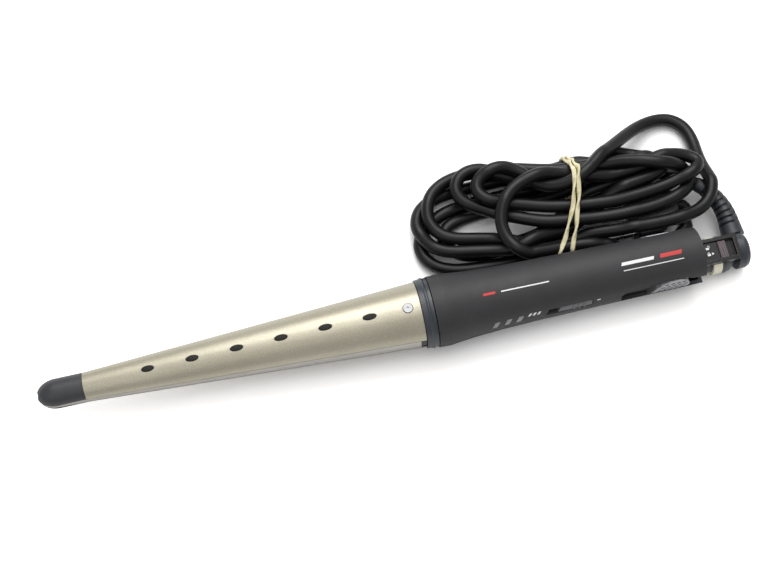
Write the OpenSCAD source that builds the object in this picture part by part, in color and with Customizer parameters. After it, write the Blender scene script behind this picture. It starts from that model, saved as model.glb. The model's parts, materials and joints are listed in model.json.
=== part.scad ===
// Cone-barrel hair styler: two hinged arms that close into one round, tapered barrel,
// a handle with a slide switch, a tail with a lock, and a swivelling mains lead.
// Tool coordinates: X runs from the tip (0) to the swivel cap, Z = 0 is the parting plane
// between the arms, and the tool's long axis lies on it. stand() moves the tool to the
// row frame: origin under the middle of the closed tool, on the surface it lies on.

/* [Barrel] */
// Length of the tip cap
tip_l = 21.6; // [19.6:0.5:24.6]
// Length of the conical barrel shell
barrel_l = 152.4; // [148.4:1:156.4]
// Radius of the barrel at the tip cap
tip_r = 6.7; // [6.4:0.1:7.2]
// Radius of the barrel at the collar
root_r = 15.1; // [14.4:0.1:15.4]
// Wall of the barrel shell
shell_wall = 1; // [0.8:0.1:1.2]
// Number of vents along one arm
vent_count = 6; // [4:1:6]
// Distance from one vent to the next
vent_pitch = 20; // [18:1:20]

/* [Handle] */
// Length of the metal-look collar
collar_l = 5.6; // [5:0.1:6]
// Length of the handle shells
handle_l = 124.5; // [122.5:1:128.5]
// Wall of the handle shells
handle_wall = 1.8; // [1.6:0.1:2]
// How far the lower shell's centre lies below the long axis
lower_sag = 1; // [0.8:0.1:1.2]
// Height of the long axis above the surface the tool lies on
axis_h = 17; // [16.9:0.1:17.1]
// Travel of the power slider
power_travel = 5.5; // [4:0.5:5.5]

/* [Hinge] */
// Distance from the handle's rear edge forward to the hinge pin
hinge_back = 12.1; // [12:0.1:12.6]
// Height of the hinge pin above the parting plane
hinge_z = 1.2; // [1:0.1:1.4]
// Radius of the hinge pin
pin_r = 2; // [1.8:0.1:2]
// Running clearance round the hinge pin and the swivel journal
run_gap = 0.05; // [0.03:0.01:0.08]

/* [Tail] */
// Length of the fixed tail behind the handle shells
tail_l = 19.4; // [17.4:0.5:21.4]
// Radius of the fixed tail
tail_r = 8.6; // [8.4:0.1:8.6]
// Depth of the tail's own axis below the parting plane
tail_drop = 8.4; // [8.3:0.1:8.4]
// Length of the swivel cap
cap_l = 6.5; // [6:0.1:8]
// Radius of the swivel cap
cap_r = 8.4; // [8.2:0.1:8.4]
// Travel of the lock slider
lock_travel = 3.6; // [3:0.2:3.6]

/* [Lead] */
// Diameter of the mains lead
cord_d = 6; // [5.6:0.1:6]
// Length of the strain relief
boot_l = 33; // [30:1:36]
// Angle that the strain relief bends through, towards the tip
boot_bend = 50; // [40:1:60]
// Height of the tied hank
hank_h = 23; // [20:1:24]

/* [Hidden] */

$fn = 96;
seg = 32;              // facets where only a soft outline matters
gap = 0.15;            // half the gap between the closed arms
tiny = 0.01;           // overlap that joins touching solids

// Stations along the tool
x_barrel = tip_l;
x_collar = tip_l + barrel_l;
x_handle = x_collar + collar_l;
x_tail = x_handle + handle_l;
x_cap = x_tail + tail_l;
tool_l = x_cap + cap_l;
hinge_x = x_tail - hinge_back;

// Cone of the barrel, and the sloping lower edge of its shell
cone_tilt = atan((root_r - tip_r) / barrel_l);
edge_0 = 2.5;
edge_1 = 5.7;
edge_tilt = atan((edge_1 - edge_0) / barrel_l);
plate_start = 3;
plate_end = x_collar - 2.8;
nose_l = 9;
vent_w = 3.4;
vent_first = 29.4;     // first vent, measured from the front of the shell
screw_x = x_collar - 6;

// Lower edge of the upper handle shell, seen from the side: [x, z]
EDGE = [
    [x_handle, -0.6], [x_handle + 20, -0.7], [x_handle + 41, -0.1],
    [x_handle + 61, 1.9], [x_handle + 82, 3.6]
];
arch_x = x_handle + 85.5;
ARCH = [
    [arch_x, 3.8], [arch_x + 0.4, 5], [arch_x + 5, 5.7], [arch_x + 12, 6.3],
    [arch_x + 20, 6.8], [arch_x + 25, 6.8], [arch_x + 30, 6.1], [arch_x + 33, 5], [x_tail + 2, 4.8]
];
part_gap = 0.4;        // gap between the two handle shells
recess_z = -3.6;       // top of the lower shell beside the hinge

// Outer radius of the handle: [distance from its front, radius]
HANDLE_R = [
    [0, 16.1], [5.5, 16.3], [10.5, 15.7], [17.5, 15], [29.5, 14.3],
    [46.5, 13.8], [65.5, 13.5], [93.5, 13.1], [112.5, 13], [handle_l, 12.8]
];

// Slide switch slot and light windows in the upper shell's near side
slot_x = x_handle + 49;
slot_l = 22.2;
slot_z0 = 2.4;
slot_z1 = 6;
slant = 1.5;           // lean of the slot's front end and of the windows
slider_l = slot_l - power_travel - 0.7;
board_z = 7;
boss_x = [x_handle + 8, x_handle + 76];

// Tail
journal_r = 4;
saddle_w = 12;
saddle_z = -2.6;
frame_top = 0.7;
ring_x = x_tail + 7.2;
ring_w = 4.2;
window_x = x_tail + 1.4;
window_l = 13.3 + lock_travel;
boot_root = 6.4;       // distance of the boot's root from the swivel axis
boot_x = x_cap + 2.7;

// Row frame places, on the surface at Z = 0
cx = tool_l / 2;
swivel_z = axis_h - tail_drop;
boot_straight = 9.6;    // straight stretch of the strain relief before it bends
bend_r = (boot_l - boot_straight) * 180 / (PI * boot_bend);

// Angle turned, and place in the row frame, at s along the strain relief
function boot_turn(s) = max(0, s - boot_straight) * boot_bend / (boot_l - boot_straight);
function boot_at(s) = let (a = boot_turn(s)) [
    boot_x - cx - bend_r * (1 - cos(a)),
    boot_root + min(s, boot_straight) + bend_r * sin(a),
    swivel_z
];
boot_tip = boot_at(boot_l);

// Stretch of lead between the strain relief and the hank
LEAD = [boot_tip, [147.9, 40, 8.5], [142.5, 45.2, 6.8], [137, 48.2, 5.4]];
// Loose loop that stands out at the hank's rear end, over the strain relief
LOOP = [
    [137, 20.4, 17], [146, 20, 17.2], [153.8, 22.8, 17.2], [158.2, 28, 16.5], [157.9, 36, 14.7],
    [156, 44, 11], [157.5, 53, 7], [159.8, 61, 4.2], [158.6, 69, 3.1], [152, 75.4, 3.1],
    [142.5, 75.4, 3.4], [131.5, 71, 5.5], [121, 65, 9], [112, 59, 12.5], [106, 55, 14]
];
// Last stretch, between the handle and the hank and round into the plug
TAIL = [
    [100.4, 18, 12.2], [103.5, 15.9, 10.4], [107, 14.6, 7.4], [114, 12.8, 4.2], [122, 12.1, 3.2],
    [132, 12.1, 3.1], [139.5, 14, 3.2], [144, 18.5, 3.8], [145, 24, 5.2], [143, 28, 6.4],
    [139, 29, 6.8]
];

// Hank: centres and radii of its two round ends and its tied waist
HANK = [[36, 40, 20], [92, 40, 20], [124, 38, 19]];
band_x = 88;
band_l = 9;
band_t = 1.2;

// Plug: flat two-pin body lying in a hollow under the hank's rear end
plug_x = 118;
plug_y = 29;
plug_l = 21;
plug_w = 27;
plug_h = 13.6;
pin_l = 19;
pin_pitch = 18.6;

champagne = "#b9b29c";
carrier_black = "#262626";
plate_grey = "#8f8b84";
satin_blue = "#5f6870";
soft_black = "#3a3a3d";

// ---------- shared shapes ----------

module stand() {
    translate([-cx, 0, axis_h]) children();
}

module upper() {
    stand() children();
}

module lower() {
    stand() mirror([0, 0, 1]) children();
}

// Solid of revolution about the long axis, from [x, radius] points
module turned(points) {
    rotate([0, 90, 0]) rotate_extrude() polygon([for (p = points) [p[1], p[0]]]);
}

// Prism through the whole width, from [x, z] points
module through(points, half = 40) {
    translate([0, half, 0]) rotate([90, 0, 0]) linear_extrude(2 * half) polygon(points);
}

module rod(x0, x1, r) {
    translate([x0, 0, 0]) rotate([0, 90, 0]) cylinder(h = x1 - x0, r = r);
}

module cross_rod(x, z, half, r) {
    translate([x, half, z]) rotate([90, 0, 0]) cylinder(h = 2 * half, r = r);
}

module box(x0, x1, half_w, z0, z1) {
    translate([x0, -half_w, z0]) cube([x1 - x0, 2 * half_w, z1 - z0]);
}

// Pointed oval of length l and width w
module lens(l, w, h) {
    r = (l * l + w * w) / (4 * w);
    intersection_for(s = [-1, 1]) translate([0, s * (r - w / 2), 0]) cylinder(h = h, r = r);
}

// Everything under the sloping edge of the barrel shell, lowered by d
module under_edge(d = 0) {
    translate([x_barrel, 0, edge_0 - d]) rotate([0, -edge_tilt, 0])
        translate([-60, -30, -60]) cube([300, 60, 60]);
}

module above_edge(d = 0) {
    translate([x_barrel, 0, edge_0 - d]) rotate([0, -edge_tilt, 0])
        translate([-60, -30, 0]) cube([300, 60, 60]);
}

function cone_r(x) = tip_r + (root_r - tip_r) * (x - x_barrel) / barrel_l;
function nose(inset) = [
    for (a = [0:9:90]) [nose_l - (nose_l - inset) * cos(a), (tip_r - inset) * sin(a)]
];
function vent_l(i) = 6.1 + 0.1 * i;

// Frame whose X axis runs along the top line of the cone
module along_cone() {
    translate([x_barrel, 0, tip_r]) rotate([0, -cone_tilt, 0]) children();
}

// ---------- barrel, one arm ----------

module tip_cap() {
    color("#3d3f42") difference() {
        union() {
            turned(concat(nose(0), [[x_barrel - 0.1, tip_r], [x_barrel - 0.1, 0]]));
            turned([[x_barrel - 1, 0], [x_barrel - 1, 5.4], [x_barrel + 5, 5.4], [x_barrel + 5, 0]]);
        }
        under_edge(0);
        translate([-2, 0, -tip_r]) cylinder(h = 3 * tip_r, r = 3.2);
        box(x_barrel - 8, x_barrel + 6, 3.4, -1, 4);
    }
}

module barrel_shell() {
    color(champagne) difference() {
        turned([
            [x_barrel, tip_r - shell_wall], [x_barrel, tip_r],
            [x_collar - 0.2, root_r], [x_collar - 0.2, root_r - shell_wall]
        ]);
        under_edge(0);
        along_cone() for (i = [0:vent_count - 1])
            translate([vent_first + vent_pitch * i, 0, -3]) lens(vent_l(i) + 0.3, vent_w + 0.3, 6);
        translate([screw_x, 0, 5]) cylinder(h = 20, r = 1.3);
        translate([screw_x, 0, cone_r(screw_x) - 0.45]) cylinder(h = 3, r = 2.25);
    }
}

module vent_strip() {
    strip_l = vent_pitch * (vent_count - 1) + 12;
    color(carrier_black) along_cone() {
        translate([vent_first - 6, -1.9, -shell_wall - 1.7]) cube([strip_l, 3.8, 1.2]);
        for (i = [0:vent_count - 1]) translate([vent_first + vent_pitch * i, 0, -shell_wall - 1])
            lens(vent_l(i), vent_w, shell_wall + 1.05);
    }
}

module heating_plate() {
    color(plate_grey) difference() {
        turned(concat(
            nose(0.4),
            [[x_barrel, tip_r - 0.1], [plate_end, cone_r(plate_end) - 0.1], [plate_end, 0]]
        ));
        box(-5, plate_end + 5, 30, -40, gap);
        above_edge(0.25);
        box(-5, plate_start, 30, -1, 20);
        difference() {
            turned([
                [x_barrel + 8, 0], [x_barrel + 8, cone_r(x_barrel + 8) - 1.5],
                [plate_end - 2, cone_r(plate_end) - 1.5], [plate_end - 2, 0]
            ]);
            box(0, plate_end, 30, -40, 1.7);
        }
    }
}

module heater() {
    color("#e3ded2") box(x_barrel + 36, x_barrel + 130, 4, 1.8, 4);
}

module plate_carrier() {
    inset = shell_wall + 0.3;
    front = x_barrel + 8;
    color(carrier_black) difference() {
        union() {
            difference() {
                turned([
                    [front, 0], [front, cone_r(front) - inset],
                    [plate_end + 1, cone_r(plate_end + 1) - inset], [plate_end + 1, 0]
                ]);
                turned([
                    [front + 3, 0], [front + 3, cone_r(front + 3) - inset - 1.5],
                    [x_collar - 14, cone_r(x_collar - 14) - inset - 1.5], [x_collar - 14, 0]
                ]);
                under_edge(-0.1);
            }
            intersection() {
                rod(plate_end + 0.3, x_handle + 3, cone_r(plate_end) - inset);
                box(plate_end, x_handle + 4, 12.9, 0.9, 9.1);
            }
            difference() {
                rod(plate_end + 0.3, x_collar - 0.3, root_r - 0.4);
                box(0, x_handle + 9, 30, -40, 0.9);
                above_edge(0.3);
            }
        }
        along_cone() translate([0, -2.3, -shell_wall - 2.2]) cube([barrel_l - 14, 4.6, 6]);
        translate([screw_x, 0, 4]) cylinder(h = 20, r = 1.15);
        box(x_collar - 15, x_handle + 4, 5, 2.6, 6);
    }
}

module barrel_screw() {
    color("silver") difference() {
        union() {
            translate([screw_x, 0, cone_r(screw_x) - 0.4]) cylinder(h = 0.7, r = 2.1);
            translate([screw_x, 0, cone_r(screw_x) - 7]) cylinder(h = 7, r = 1.1);
        }
        translate([screw_x, 0, cone_r(screw_x) - 0.1]) cylinder(h = 2, r = 0.6, $fn = 6);
    }
}

module collar() {
    x0 = x_collar;
    color(satin_blue) difference() {
        turned([
            [x0, 14.2], [x0, 15.6], [x0 + 2.3, 15.8], [x0 + 2.8, 16.2], [x0 + 3.3, 16.2],
            [x0 + 3.8, 15.8], [x0 + 5.2, 15.8], [x0 + 5.2, 14.2]
        ]);
        box(0, tool_l, 30, -40, gap);
    }
}

// ---------- handle ----------

// Body of revolution of the handle, with its surface moved inwards by d
module handle_body(d, x0 = x_handle, x1 = x_tail) {
    intersection() {
        turned(concat(
            [[x_handle, 0]],
            [for (p = HANDLE_R) [x_handle + p[0], p[1] - d]],
            [[x_tail, 0]]
        ));
        box(x0, x1, 30, -30, 30);
    }
}

function shift_z(points, dz) = [for (p = points) [p[0], p[1] + dz]];
function backwards(points) = [for (i = [len(points) - 1:-1:0]) points[i]];

// Slanted prism in the near side wall: x and length at its foot, z limits, y limits
module side_prism(x0, l, z0, z1, y0, y1, right = 1) {
    lean = slant * (z1 - z0) / (slot_z1 - slot_z0);
    translate([0, y1, 0]) rotate([90, 0, 0]) linear_extrude(y1 - y0) polygon([
        [x0, z0], [x0 + l, z0], [x0 + l + lean * right, z1], [x0 + lean, z1]
    ]);
}

module handle_screw(x, z0) {
    translate([x, 0, z0]) cylinder(h = 7, r = 1.1);
    translate([x, 0, z0]) cylinder(h = 1.2, r = 2.2);
}

function edge_z(x) = lookup(x, EDGE);
window_at = [x_handle + 24.2, x_handle + 29.8, x_handle + 35.2];

module upper_handle_shell() {
    top = [[x_tail + 2, 30], [x_handle - 1, 30]];
    color(soft_black) upper() difference() {
        intersection() {
            union() {
                difference() {
                    handle_body(0);
                    handle_body(handle_wall, x_handle + 1.5, x_tail + 5);
                }
                intersection() {
                    for (x = boss_x) translate([x, 0, edge_z(x) + 2.6]) cylinder(h = 20, r = 2.8);
                    handle_body(0.6);
                }
            }
            through(concat([[x_handle - 1, EDGE[0][1]]], EDGE, ARCH, top));
        }
        box(x_handle - 1, x_handle + 4, 13.2, -5, 9.4);
        for (x = boss_x) translate([x, 0, -1]) cylinder(h = 11.5, r = 1.15);
        side_prism(slot_x, slot_l, slot_z0, slot_z1, -20, -5, 0);
        for (x = window_at) side_prism(x - 0.1, 2.5, 2.6, 6.3, -20, -5);
    }
}

module upper_inner_cover() {
    cover = concat(
        [[x_handle + 4, edge_z(x_handle) + 1]], shift_z([for (i = [1:4]) EDGE[i]], 0.4),
        [[hinge_x - 12, 1.6], [hinge_x, hinge_z - 2]],
        [[hinge_x, 6.4], [x_handle + 82, 6.2]],
        backwards(shift_z([for (i = [1:3]) EDGE[i]], 2.4)), [[x_handle + 4, edge_z(x_handle) + 2.6]]
    );
    color(carrier_black) upper() difference() {
        union() {
            intersection() {
                through(cover);
                handle_body(handle_wall + 0.3, x_handle + 4, hinge_x);
                union() {
                    box(x_handle, x_handle + 84, 20, -10, 10);
                    box(x_handle + 83, x_tail, 7.9, -10, 10);
                }
            }
            cross_rod(hinge_x, hinge_z, 7.9, 5.2);
        }
        translate([slot_x - 9, -20, -10]) cube([slot_l + 13, 11.8, 30]);
        cross_rod(hinge_x, hinge_z, 20, 3.2);
        for (x = boss_x) {
            translate([x, 0, -10]) cylinder(h = 30, r = 1.2);
            translate([x, 0, -10]) cylinder(h = 11.3 + edge_z(x), r = 2.4);
        }
    }
}

module upper_cover_screws() {
    color("silver") upper() for (x = boss_x) handle_screw(x, edge_z(x) + 0.1);
}

module lower_handle_shell() {
    outline = concat(
        [[x_handle - 1, EDGE[0][1] - part_gap]], shift_z(EDGE, -part_gap),
        [[arch_x - 0.8, 3.3], [arch_x - 0.4, recess_z], [x_tail + 2, recess_z]],
        [[x_tail + 2, -30], [x_handle - 1, -30]]
    );
    ear = [
        [arch_x - 0.6, recess_z - 3], [arch_x - 0.6, 1.5], [arch_x + 4, 3.6], [arch_x + 13, 5],
        [hinge_x, hinge_z + 4.6], [hinge_x, recess_z - 3]
    ];
    color(soft_black) stand() difference() {
        union() {
            intersection() {
                translate([0, 0, -lower_sag]) union() {
                    difference() {
                        handle_body(0);
                        handle_body(handle_wall, x_handle + 1.5, x_tail - 1.5);
                    }
                    intersection() {
                        for (x = boss_x) translate([x, 0, -22]) cylinder(h = 19.8 + edge_z(x), r = 2.8);
                        handle_body(0.6);
                    }
                }
                through(outline);
            }
            for (s = [-1, 1]) translate([0, s * 9.6, 0]) {
                through(ear, 1);
                cross_rod(hinge_x, hinge_z, 1, 4.6);
                box(hinge_x - 0.5, hinge_x + 4.6, 1, recess_z - 3, hinge_z);
            }
        }
        box(0, tool_l, 30, -40, -axis_h);
        box(x_handle - 1, x_handle + 4, 13.2, -9.4, 5);
        cross_rod(hinge_x, hinge_z, 20, pin_r);
        translate([0, 0, -tail_drop]) rod(x_tail - 5, tool_l, 7.3);
        box(x_tail - 4, x_tail + 1, saddle_w / 2 + 0.2, -6, 5);
        for (x = boss_x) translate([x, 0, -10.5]) cylinder(h = 30, r = 1.15);
    }
}

module lower_inner_cover() {
    floor_z = -7;
    near = [[x_handle + 4, edge_z(x_handle) - 0.9], for (i = [1:3]) EDGE[i] - [0, 0.9]];
    cover = concat(
        near, [[x_handle + 81, 2.5], [x_handle + 84, floor_z + 2], [x_tail - 7, floor_z + 2]],
        [[x_tail - 7, floor_z], [x_handle + 81, floor_z], [x_handle + 78, 0.4]],
        backwards(shift_z(near, -2))
    );
    color(carrier_black) stand() difference() {
        intersection() {
            through(cover);
            translate([0, 0, -lower_sag]) handle_body(handle_wall + 0.3, x_handle + 4, x_tail);
            union() {
                box(x_handle, x_handle + 84, 20, -20, 10);
                box(x_handle + 83, x_tail, 8.3, -20, 10);
            }
        }
        for (x = boss_x) {
            translate([x, 0, -20]) cylinder(h = 40, r = 1.2);
            translate([x, 0, edge_z(x) - 2]) cylinder(h = 11, r = 2.4);
        }
    }
}

module lower_cover_screws() {
    color("silver") stand() for (x = boss_x)
        translate([x, 0, edge_z(x) - 0.8]) mirror([0, 0, 1]) handle_screw(0, 0);
}

// ---------- electrics ----------

module thermal_fuse() {
    color("#d8d3c4") upper() {
        translate([0, 0, 4.2]) rod(x_collar - 13, x_collar - 5.5, 1.2);
    }
}

module control_board() {
    color("#2d6a3c") upper() box(x_handle + 15, x_handle + 70, 8.4, board_z, board_z + 1.2);
}

module board_components() {
    top = board_z + 1.2;
    color("#4a4f58") upper() {
        box(x_handle + 18, x_handle + 26, 3.2, top, top + 2.2);
        translate([x_handle + 34, -2.5, top]) cylinder(h = 3.2, r = 2.4);
        box(x_handle + 42, x_handle + 52, 2.6, top, top + 2.4);
        translate([x_handle + 60, 1.5, top]) cylinder(h = 2.6, r = 2.6);
        for (x = window_at) translate([x + 0.6, -7.2, board_z - 2.2]) cube([1.8, 1.6, 2.2]);
    }
}

module slide_switch() {
    color("#1c1c1f") upper() translate([slot_x + 4, -7.6, board_z - 1.7]) cube([14, 5, 1.7]);
}

module led_windows() {
    color("#e9e6df") upper() for (x = window_at) intersection() {
        side_prism(x, 2.3, 2.75, 6.15, -20, -8.6);
        handle_body(0.02);
    }
}

// The slider shows in the slot, and a wider flange behind the wall keeps it there
module power_slider() {
    x0 = slot_x + slot_l - slider_l - 0.35;
    color("#6c6d70") upper() {
        intersection() {
            side_prism(x0, slider_l, slot_z0 + 0.3, slot_z1 - 0.3, -20, -9.2, 0);
            handle_body(0.15);
        }
        for (i = [0:2]) intersection() {
            translate([x0 + slider_l - 9 + 2.4 * i, -20, slot_z0 + 0.6]) cube([0.8, 10, 2.4]);
            handle_body(-0.35);
        }
        translate([x0 - 0.8, -9.3, slot_z0 - 0.6]) cube([slider_l + 1, 0.7, 4.4]);
        translate([x0 + 6, -8.7, slot_z0 + 2.9]) cube([2, 0.8, 0.8]);
    }
}

// ---------- hinge ----------

module leaf_spring() {
    foot = x_handle + 88;
    color("#c8c8c8") upper() through([
        [foot, 2.5], [foot + 8, 1.5], [foot + 13, -4.4], [foot + 13.8, -4.3], [foot + 8.6, 2], [foot, 3.1]
    ], 3);
}

module hinge_pin() {
    color("silver") stand() cross_rod(hinge_x, hinge_z, 10.6, pin_r);
}

module hinge_bushes() {
    color("#d9d4c8") upper() for (s = [-1, 1]) difference() {
        union() {
            translate([0, s * 5.9, 0]) cross_rod(hinge_x, hinge_z, 2, 3.2);
            translate([0, s * 8.05, 0]) cross_rod(hinge_x, hinge_z, 0.15, 4.4);
        }
        cross_rod(hinge_x, hinge_z, 20, pin_r + run_gap);
    }
}

module side_pads() {
    leaf = [
        [hinge_x - 14.4, -3.2], [hinge_x - 13, -0.4], [hinge_x - 11.4, 2.4], [hinge_x - 9, 3.9],
        [hinge_x - 5, 5.1], [hinge_x, hinge_z + 4.5], [hinge_x, -3.4]
    ];
    color("#a9adb3") stand() for (s = [-1, 1]) intersection() {
        translate([0, s * 12.1, 0]) union() {
            through(leaf, 1.5);
            cross_rod(hinge_x, hinge_z, 1.5, 4.5);
            box(hinge_x - 0.5, hinge_x + 4.5, 1.5, -3.4, hinge_z);
        }
        handle_body(0.05);
    }
}

// ---------- tail, lock and swivel ----------

module saddle_pocket(d = 0) {
    box(x_tail - 4, x_cap - 0.3 + d, saddle_w / 2 + d, saddle_z - d, 12);
}

module tail_block() {
    color("#4b5560") stand() difference() {
        translate([0, 0, -tail_drop]) {
            rod(x_tail - 4.6, ring_x + ring_w + 0.3, 7.2);
            turned([
                [ring_x + ring_w + 0.1, 0], [ring_x + ring_w + 0.1, tail_r], [x_cap - 6, tail_r],
                [x_cap - 4, 8], [x_cap - 2, 6.8], [x_cap - 0.6, 5.5], [x_cap, 4.8], [x_cap, 0]
            ]);
            rod(x_cap - tiny, x_cap + 4.4, journal_r);
        }
        saddle_pocket(0.1);
    }
}

module ivory_ring() {
    color("#e9e3cf") stand() difference() {
        translate([0, 0, -tail_drop]) difference() {
            rod(ring_x, ring_x + ring_w, tail_r);
            rod(ring_x - 1, ring_x + ring_w + 1, 7.25);
        }
        saddle_pocket(0.1);
    }
}

module tail_frame() {
    color("#18181a") stand() difference() {
        union() {
            box(x_tail - 3.4, x_cap - 0.3, saddle_w / 2, saddle_z, frame_top);
            box(x_cap - 1, x_cap + 0.8, saddle_w / 2, 0.15, frame_top);
        }
        box(window_x, window_x + window_l, 4.3, -1.8, 5);
    }
}

module lock_icon_plate() {
    color("#2a2a2c") stand() box(window_x + 0.1, window_x + 9.2, 4.2, -1.8, -0.4);
}

module lock_slider() {
    x0 = window_x + 9.6;
    color("#a39a9b") stand() {
        box(x0, x0 + 3.5, 4, -1.5, -0.2);
        for (i = [0:2]) box(x0 + 0.4 + 1.1 * i, x0 + 0.9 + 1.1 * i, 3.4, -0.3, 0.1);
    }
}

// Frame at s along the strain relief, Z along it
module boot_frame(s) {
    translate(boot_at(s)) rotate([0, 0, boot_turn(s)]) rotate([-90, 0, 0]) children();
}

module swivel_cap() {
    color(satin_blue) difference() {
        stand() translate([0, 0, -tail_drop]) difference() {
            turned([
                [x_cap + 0.3, 0], [x_cap + 0.3, cap_r], [tool_l - 2.6, cap_r], [tool_l - 1, cap_r - 0.7],
                [tool_l - 0.2, cap_r - 1.9], [tool_l, cap_r - 3.4], [tool_l, 0]
            ]);
            rod(x_cap, x_cap + 3.4, journal_r + run_gap);
            rod(x_cap + 2.4, x_cap + 5, 5.8);
        }
        boot_frame(0) cylinder(h = 10, r = 2.5);
    }
}

module swivel_retainer() {
    color("silver") stand() translate([0, 0, -tail_drop]) difference() {
        rod(x_cap + 3, x_cap + 4, 5.4);
        rod(x_cap + 2, x_cap + 5, journal_r);
    }
}

module strain_relief() {
    ribs = 6;
    pitch = 3.8;
    first = 7;
    core = 3.6;
    steps = [for (i = [0:24]) boot_l * i / 24];
    color(soft_black) {
        boot_frame(0) cylinder(h = 6, r = 2.4);
        difference() {
            tube(
                [for (s = steps) boot_at(s)],
                [for (s = steps) lookup(s, [[0, 5.5], [9, 4.7], [boot_l, 3.3]])],
                24
            );
            for (i = [0:ribs - 1]) boot_frame(first + pitch * i) difference() {
                cylinder(h = 0.9, r = 8);
                translate([0, 0, -1]) cylinder(h = 4, r = core - 0.1 * i);
            }
            stand() translate([0, 0, -tail_drop]) rod(x_tail, tool_l + 5, tail_r + 0.25);
        }
    }
}

// ---------- lead ----------

function unit(v) = v / norm(v);
function spline(a, b, c, d, t) = 0.5 * (
    2 * b + (c - a) * t + (2 * a - 5 * b + 4 * c - d) * t * t + (3 * b - a - 3 * c + d) * t * t * t
);

// A smooth path through the points, with n rings for each stretch
function path(p, n) = let (last = len(p) - 1) [
    for (i = [0:last - 1], k = [0:n - 1])
        spline(p[max(i - 1, 0)], p[i], p[i + 1], p[min(i + 2, last)], k / n),
    p[last]
];

// One closed tube round a path; r is its radius, or a list with one radius for each point
module tube(p, r, sides) {
    last = len(p) - 1;
    rings = [
        for (i = [0:last]) let (
            t = unit(p[min(i + 1, last)] - p[max(i - 1, 0)]),
            u = unit(cross([0, 0, 1], t)),
            v = cross(t, u)
        ) for (k = [0:sides - 1]) let (a = 360 * k / sides)
            p[i] + (is_list(r) ? r[i] : r) * (cos(a) * u + sin(a) * v)
    ];
    walls = [
        for (i = [0:last - 1], k = [0:sides - 1]) let (a = i * sides + k, b = i * sides + (k + 1) % sides)
            [a, a + sides, b + sides, b]
    ];
    ends = [[for (k = [0:sides - 1]) k], [for (k = [sides - 1:-1:0]) last * sides + k]];
    polyhedron(points = rings, faces = concat(walls, ends));
}

module cord_lead() {
    color("#1d1d1f") tube(path(LEAD, 2), cord_d / 2, 10);
}

module cord_loop() {
    color("#1d1d1f") tube(path(LOOP, 1), cord_d / 2, 10);
}

module cord_tail() {
    color("#1d1d1f") tube(path(TAIL, 1), cord_d / 2, 10);
}

// Outline of the hank, grown by d
module hank_outline(d = 0) {
    for (i = [0:1]) hull() {
        translate([HANK[i][0], HANK[i][1]]) circle(r = HANK[i][2] + d, $fn = seg);
        translate([HANK[i + 1][0], HANK[i + 1][1]]) circle(r = HANK[i + 1][2] + d, $fn = seg);
    }
}

module cord_hank() {
    color("#1d1d1f") difference() {
        linear_extrude(hank_h) hank_outline();
        translate([plug_x, plug_y - plug_w, -1]) cube([plug_l, 1.5 * plug_w, plug_h + 1]);
        for (s = [-1, 1]) translate([plug_x - pin_l, plug_y + s * pin_pitch / 2, plug_h / 2])
            rotate([0, 90, 0]) cylinder(h = pin_l + tiny, r = 2.2);
        band_groove();
    }
}

module band_groove() {
    translate([band_x, 0, 0]) difference() {
        translate([0, -10, -1]) cube([band_l, 90, hank_h + 5]);
        translate([-1, 20 + band_t, band_t]) cube([band_l + 2, 40 - 2 * band_t, hank_h - 2 * band_t]);
    }
}

module hank_band() {
    color("#e6dfb4") translate([band_x + 0.2, 0, 0]) difference() {
        translate([0, 20, 0]) cube([band_l - 0.4, 40, hank_h]);
        translate([-1, 20 + band_t, band_t]) cube([band_l + 2, 40 - 2 * band_t, hank_h - 2 * band_t]);
    }
}

module plug_body() {
    half = plug_w / 2;
    color("#1d1d1f") translate([plug_x, plug_y, 0]) linear_extrude(plug_h) polygon([
        [0, -half + 1.5], [1.5, -half], [10, -half], [plug_l, -6], [plug_l, 6], [10, half],
        [1.5, half], [0, half - 1.5]
    ]);
}

module plug_pins() {
    color("silver") for (s = [-1, 1])
        translate([plug_x - pin_l, plug_y + s * pin_pitch / 2, plug_h / 2]) rotate([0, 90, 0])
            cylinder(h = pin_l, r = 2);
}

// ---------- the sub-parts by name ----------

module upper_tip_cap() { upper() tip_cap(); }
module upper_barrel_shell() { upper() barrel_shell(); }
module upper_vent_strip() { upper() vent_strip(); }
module upper_heating_plate() { upper() heating_plate(); }
module upper_heater() { upper() heater(); }
module upper_plate_carrier() { upper() plate_carrier(); }
module upper_barrel_screw() { upper() barrel_screw(); }
module upper_collar() { upper() collar(); }
module lower_tip_cap() { lower() tip_cap(); }
module lower_barrel_shell() { lower() barrel_shell(); }
module lower_vent_strip() { lower() vent_strip(); }
module lower_heating_plate() { lower() heating_plate(); }
module lower_heater() { lower() heater(); }
module lower_plate_carrier() { lower() plate_carrier(); }
module lower_barrel_screw() { lower() barrel_screw(); }
module lower_collar() { lower() collar(); }

upper_tip_cap();
upper_barrel_shell();
upper_vent_strip();
upper_heating_plate();
upper_heater();
upper_plate_carrier();
upper_barrel_screw();
upper_collar();
upper_handle_shell();
upper_inner_cover();
upper_cover_screws();
lower_tip_cap();
lower_barrel_shell();
lower_vent_strip();
lower_heating_plate();
lower_heater();
lower_plate_carrier();
lower_barrel_screw();
lower_collar();
lower_handle_shell();
lower_inner_cover();
lower_cover_screws();
thermal_fuse();
control_board();
board_components();
slide_switch();
led_windows();
power_slider();
leaf_spring();
hinge_pin();
hinge_bushes();
side_pads();
tail_block();
ivory_ring();
tail_frame();
lock_icon_plate();
lock_slider();
swivel_cap();
swivel_retainer();
strain_relief();
cord_lead();
cord_loop();
cord_tail();
cord_hank();
hank_band();
plug_body();
plug_pins();
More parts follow.
